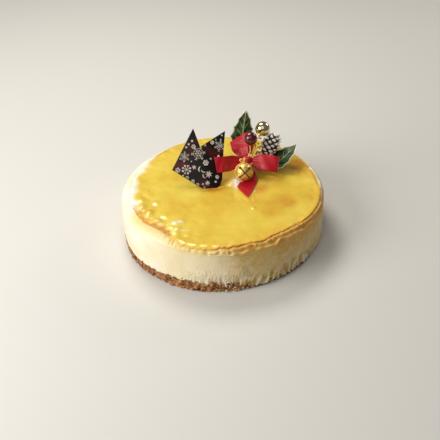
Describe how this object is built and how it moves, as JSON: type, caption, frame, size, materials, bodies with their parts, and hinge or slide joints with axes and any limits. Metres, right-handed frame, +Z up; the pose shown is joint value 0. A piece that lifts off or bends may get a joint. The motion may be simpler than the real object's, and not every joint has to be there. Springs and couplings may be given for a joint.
{
  "type": "baked cheesecake",
  "caption": "Round baked cheesecake on a crumb base, with a shield-shaped chocolate plaque and a red bow ornament on a pick standing in its top.",
  "frame": {"origin": "middle of the crumb base's flat underside, where the cake rests", "axes": "+Z up; -Y is the side that the plaque and the bow face, +X is to the right seen from there"},
  "size_m": [0.1537, 0.1533, 0.0773],
  "materials": {
    "baked_crumb": "rough",
    "baked_cheese": "satin",
    "dark_chocolate": "semi-gloss",
    "red_satin": "satin",
    "gold": "polished",
    "holly_green": "satin",
    "berry_red": "gloss",
    "cone_brown": "rough"
  },
  "bodies": {
    "root": {"crumb_base": "baked_crumb", "cheese_filling": "baked_cheese", "chocolate_plaque": "dark_chocolate", "ornament_pick": "gold", "ribbon_knot": "red_satin", "ribbon_loop_right": "red_satin", "ribbon_loop_back": "red_satin", "ribbon_tail_left": "red_satin", "ribbon_tail_front": "red_satin", "holly_leaf_back": "holly_green", "holly_leaf_right": "holly_green", "bell": "gold", "bell_ring": "gold", "gold_ball": "gold", "gold_wire_ball": "gold", "red_berry": "berry_red", "gold_wire_berry": "gold", "pine_cone": "cone_brown", "cone_wire": "cone_brown", "gold_foil_strip": "gold"}
  },
  "joints": []
}
